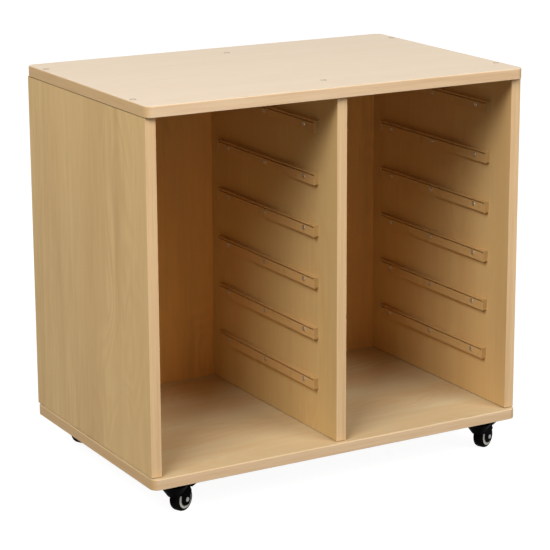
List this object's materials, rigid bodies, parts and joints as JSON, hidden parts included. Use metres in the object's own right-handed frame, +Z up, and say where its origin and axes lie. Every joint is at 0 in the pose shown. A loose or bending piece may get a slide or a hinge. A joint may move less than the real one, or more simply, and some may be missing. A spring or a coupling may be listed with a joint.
{
  "type": "tray storage cabinet",
  "caption": "Mobile open-front cabinet of laminated board with two bays of side-mounted tray runners on hooded swivel castors with front brakes.",
  "frame": {"origin": "on the floor under the middle of the cabinet", "axes": "+X from left to right along the front, +Y from the open front to the back, +Z up"},
  "size_m": [0.695, 0.447, 0.6663],
  "materials": {
    "board": "satin beech laminate on chipboard",
    "back_board": "satin beech laminate",
    "runner": "fine moulded texture",
    "screw": "zinc plated",
    "cap": "smooth moulded",
    "castor_plate": "zinc plated pressing",
    "castor_hood": "moulded black nylon",
    "brake_pedal": "moulded black nylon",
    "wheel_hub": "moulded grey polypropylene",
    "tyre": "satin black"
  },
  "bodies": {
    "cabinet": {"top_panel": "board", "base_panel": "board", "left_side": "board", "right_side": "board", "centre_divider": "board", "back_panel": "back_board", "left_bay_outer_runner_1": "runner", "left_bay_outer_runner_2": "runner", "left_bay_outer_runner_3": "runner", "left_bay_outer_runner_4": "runner", "left_bay_outer_runner_5": "runner", "left_bay_outer_runner_6": "runner", "left_bay_inner_runner_1": "runner", "left_bay_inner_runner_2": "runner", "left_bay_inner_runner_3": "runner", "left_bay_inner_runner_4": "runner", "left_bay_inner_runner_5": "runner", "left_bay_inner_runner_6": "runner", "right_bay_inner_runner_1": "runner", "right_bay_inner_runner_2": "runner", "right_bay_inner_runner_3": "runner", "right_bay_inner_runner_4": "runner", "right_bay_inner_runner_5": "runner", "right_bay_inner_runner_6": "runner", "right_bay_outer_runner_1": "runner", "right_bay_outer_runner_2": "runner", "right_bay_outer_runner_3": "runner", "right_bay_outer_runner_4": "runner", "right_bay_outer_runner_5": "runner", "right_bay_outer_runner_6": "runner", "side_runner_screws": "screw", "divider_runner_screws": "screw", "top_joining_screws": "screw", "base_joining_screws": "screw", "castor_plate_screws": "screw", "screw_caps": "cap", "front_left_castor_plate": "castor_plate", "front_right_castor_plate": "castor_plate", "rear_left_castor_plate": "castor_plate", "rear_right_castor_plate": "castor_plate"},
    "front_left_castor_swivel": {"front_left_castor_hood": "castor_hood", "front_left_castor_axle": "screw"},
    "front_left_castor_wheel": {"front_left_castor_hub": "wheel_hub", "front_left_castor_tyre": "tyre"},
    "front_left_castor_pedal": {"front_left_castor_brake_pedal": "brake_pedal"},
    "front_right_castor_swivel": {"front_right_castor_hood": "castor_hood", "front_right_castor_axle": "screw"},
    "front_right_castor_wheel": {"front_right_castor_hub": "wheel_hub", "front_right_castor_tyre": "tyre"},
    "front_right_castor_pedal": {"front_right_castor_brake_pedal": "brake_pedal"},
    "rear_left_castor_swivel": {"rear_left_castor_hood": "castor_hood", "rear_left_castor_axle": "screw"},
    "rear_left_castor_wheel": {"rear_left_castor_hub": "wheel_hub", "rear_left_castor_tyre": "tyre"},
    "rear_right_castor_swivel": {"rear_right_castor_hood": "castor_hood", "rear_right_castor_axle": "screw"},
    "rear_right_castor_wheel": {"rear_right_castor_hub": "wheel_hub", "rear_right_castor_tyre": "tyre"}
  },
  "joints": [
    {"name": "front_left_castor_swivel_joint", "type": "hinge", "parent": "cabinet", "child": "front_left_castor_swivel", "pos_m": [-0.2935, -0.1875, 0.058], "axis": [0, 0, 1], "continuous": true},
    {"name": "front_left_castor_wheel_spin", "type": "hinge", "parent": "front_left_castor_swivel", "child": "front_left_castor_wheel", "pos_m": [-0.27764, -0.1801, 0.0205], "axis": [-0.4226, 0.9063, 0], "continuous": true},
    {"name": "front_left_castor_brake_press", "type": "hinge", "parent": "front_left_castor_swivel", "child": "front_left_castor_pedal", "pos_m": [-0.27401, -0.17841, 0.0475], "axis": [-0.4226, 0.9063, 0], "range_deg": [0, 7.5]},
    {"name": "front_right_castor_swivel_joint", "type": "hinge", "parent": "cabinet", "child": "front_right_castor_swivel", "pos_m": [0.2935, -0.1875, 0.058], "axis": [0, 0, 1], "continuous": true},
    {"name": "front_right_castor_wheel_spin", "type": "hinge", "parent": "front_right_castor_swivel", "child": "front_right_castor_wheel", "pos_m": [0.30936, -0.1801, 0.0205], "axis": [-0.4226, 0.9063, 0], "continuous": true},
    {"name": "front_right_castor_brake_press", "type": "hinge", "parent": "front_right_castor_swivel", "child": "front_right_castor_pedal", "pos_m": [0.31299, -0.17841, 0.0475], "axis": [-0.4226, 0.9063, 0], "range_deg": [0, 7.5]},
    {"name": "rear_left_castor_swivel_joint", "type": "hinge", "parent": "cabinet", "child": "rear_left_castor_swivel", "pos_m": [-0.2935, 0.1875, 0.058], "axis": [0, 0, 1], "continuous": true},
    {"name": "rear_left_castor_wheel_spin", "type": "hinge", "parent": "rear_left_castor_swivel", "child": "rear_left_castor_wheel", "pos_m": [-0.27764, 0.1949, 0.0205], "axis": [-0.4226, 0.9063, 0], "continuous": true},
    {"name": "rear_right_castor_swivel_joint", "type": "hinge", "parent": "cabinet", "child": "rear_right_castor_swivel", "pos_m": [0.2935, 0.1875, 0.058], "axis": [0, 0, 1], "continuous": true},
    {"name": "rear_right_castor_wheel_spin", "type": "hinge", "parent": "rear_right_castor_swivel", "child": "rear_right_castor_wheel", "pos_m": [0.30936, 0.1949, 0.0205], "axis": [-0.4226, 0.9063, 0], "continuous": true}
  ]
}
